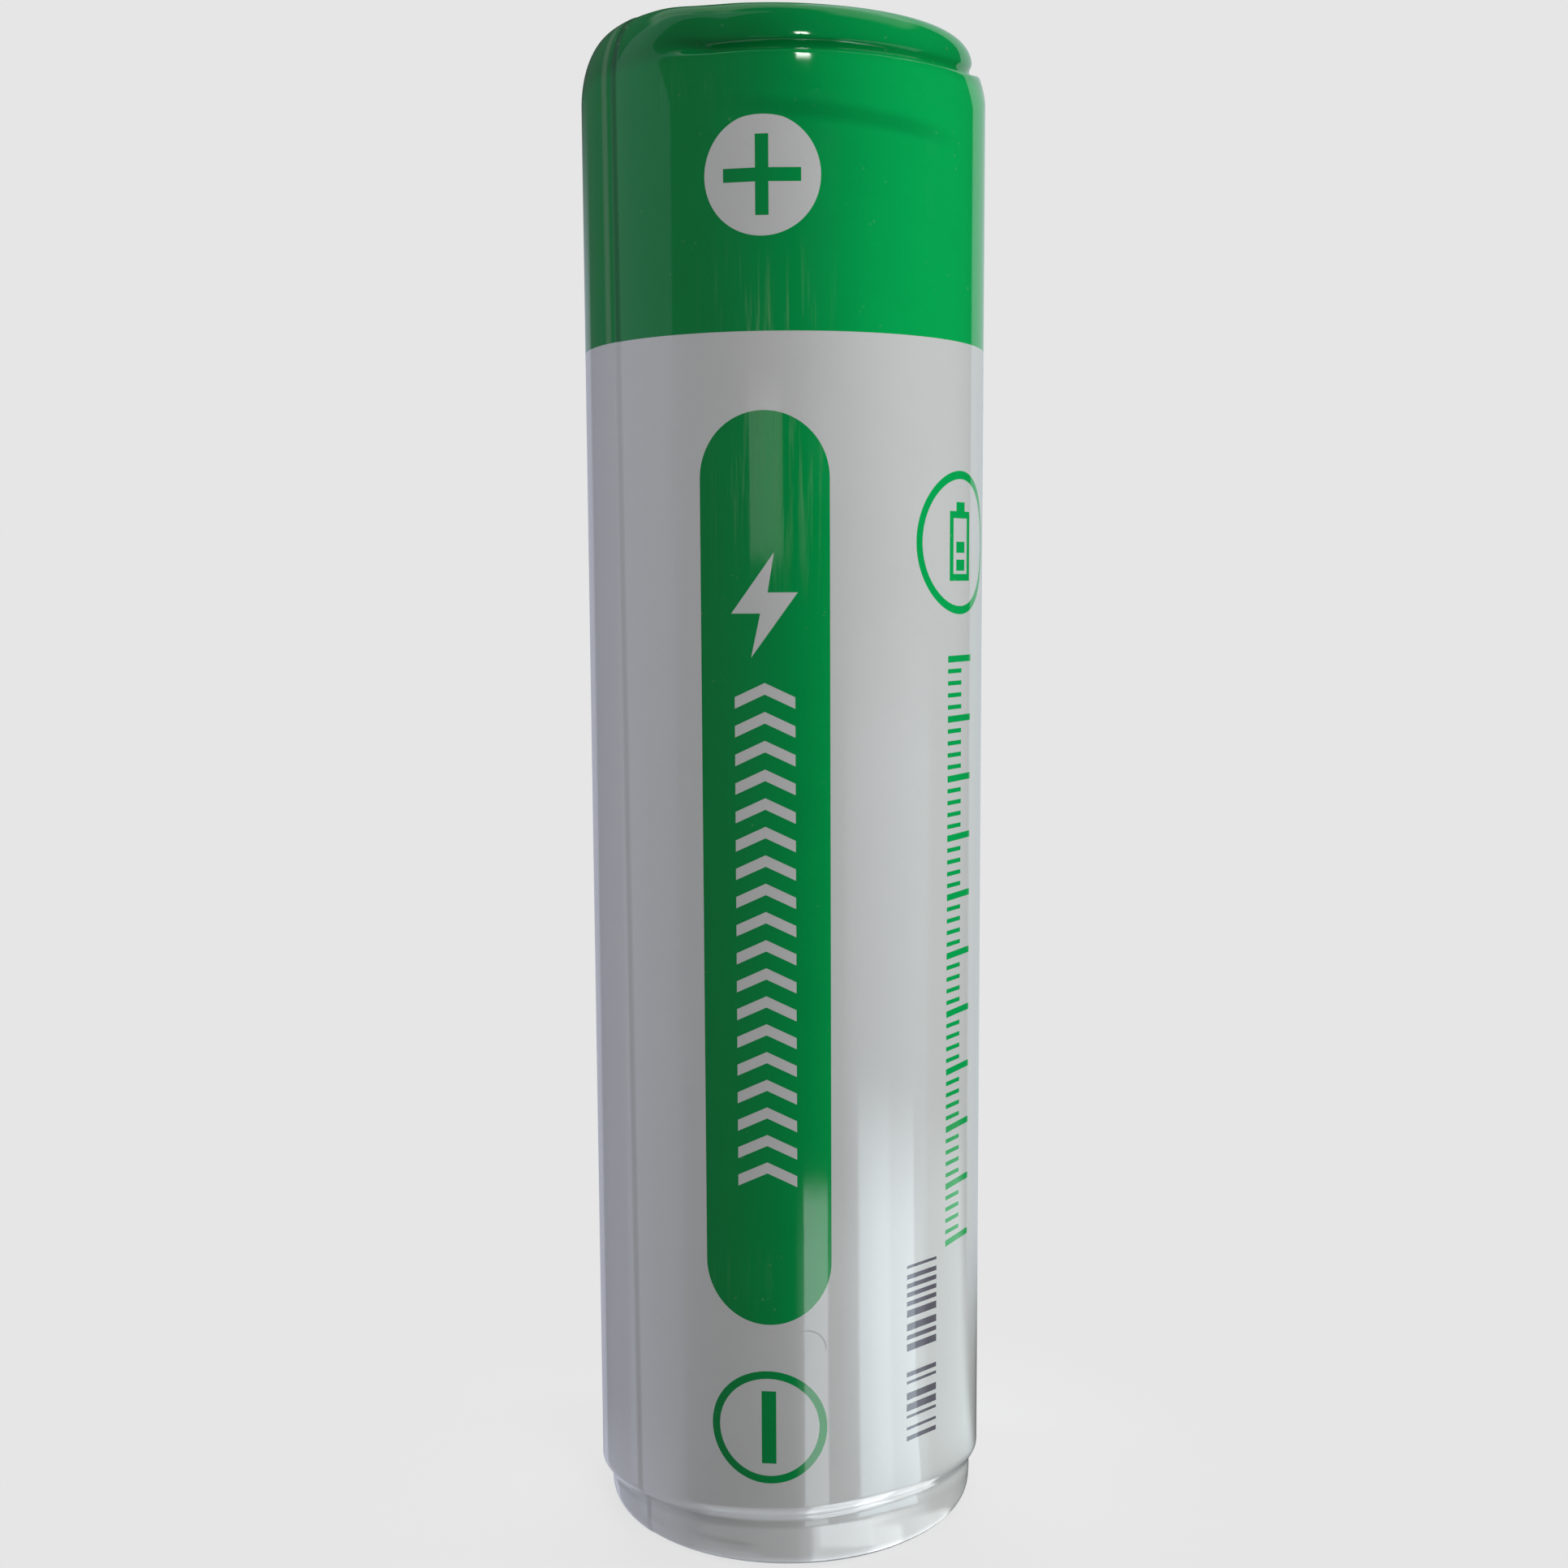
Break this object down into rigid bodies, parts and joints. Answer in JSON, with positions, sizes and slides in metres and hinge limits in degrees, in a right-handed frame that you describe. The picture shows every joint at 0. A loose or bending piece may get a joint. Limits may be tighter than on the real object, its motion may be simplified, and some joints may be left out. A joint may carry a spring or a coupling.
{
  "type": "cylindrical battery cell",
  "caption": "Rechargeable lithium-ion cell of the 18650 size with a button top, a protection board at the negative end and a glossy green and white printed sleeve.",
  "frame": {"origin": "centre of the negative contact face, on the cell's axis", "axes": "+Z along the cell's axis towards the positive button, -Y out of the label's front, +X to the label's right"},
  "size_m": [0.0187, 0.0186, 0.0702],
  "materials": {
    "printed_film": "glossy shrink film, printed green at the positive end and pale grey-white below",
    "fibre_paper": "matt pressed insulating fibre paper",
    "nickel_plate": "bright nickel plate with fine handling scratches",
    "plated_steel": "drawn nickel-plated steel",
    "polymer_carbon": "matt carbon-filled polymer",
    "aluminium_sheet": "plain rolled aluminium",
    "moulded_insulator": "milky moulded polypropylene",
    "amber_tape": "translucent amber polyimide tape",
    "anode_coating": "graphite coating on copper foil",
    "separator_film": "white microporous polymer film",
    "cathode_coating": "dark metal-oxide coating on aluminium foil",
    "blue_tape": "thin blue polymer tape",
    "board_laminate": "green solder mask on glass-fibre laminate",
    "chip_package": "black moulded package with tinned leads",
    "chip_resistor": "black glazed face with tinned ends",
    "capacitor_ceramic": "tan fired ceramic with tinned ends"
  },
  "bodies": {
    "root": {"outer_sleeve": "printed_film", "positive_insulator_ring": "fibre_paper", "positive_button": "nickel_plate", "top_cap": "plated_steel", "ptc_ring": "polymer_carbon", "vent_disc": "aluminium_sheet", "vent_insulator": "moulded_insulator", "collector_plate": "aluminium_sheet", "crimp_gasket": "moulded_insulator", "steel_can": "plated_steel", "strip_insulation": "amber_tape", "side_strip": "nickel_plate", "anode_sheet": "anode_coating", "separator_inner": "separator_film", "cathode_sheet": "cathode_coating", "separator_outer": "separator_film", "winding_tape": "blue_tape", "centre_pin": "plated_steel", "top_insulator": "fibre_paper", "bottom_insulator": "fibre_paper", "cathode_tab": "aluminium_sheet", "anode_tab": "nickel_plate", "board_insulator": "fibre_paper", "board_spacer": "moulded_insulator", "circuit_board": "board_laminate", "protection_ic": "chip_package", "mosfet_front": "chip_package", "mosfet_rear": "chip_package", "resistor_front": "chip_resistor", "resistor_rear": "chip_resistor", "chip_capacitor": "capacitor_ceramic", "negative_tab": "nickel_plate", "negative_contact_plate": "nickel_plate"}
  },
  "joints": []
}
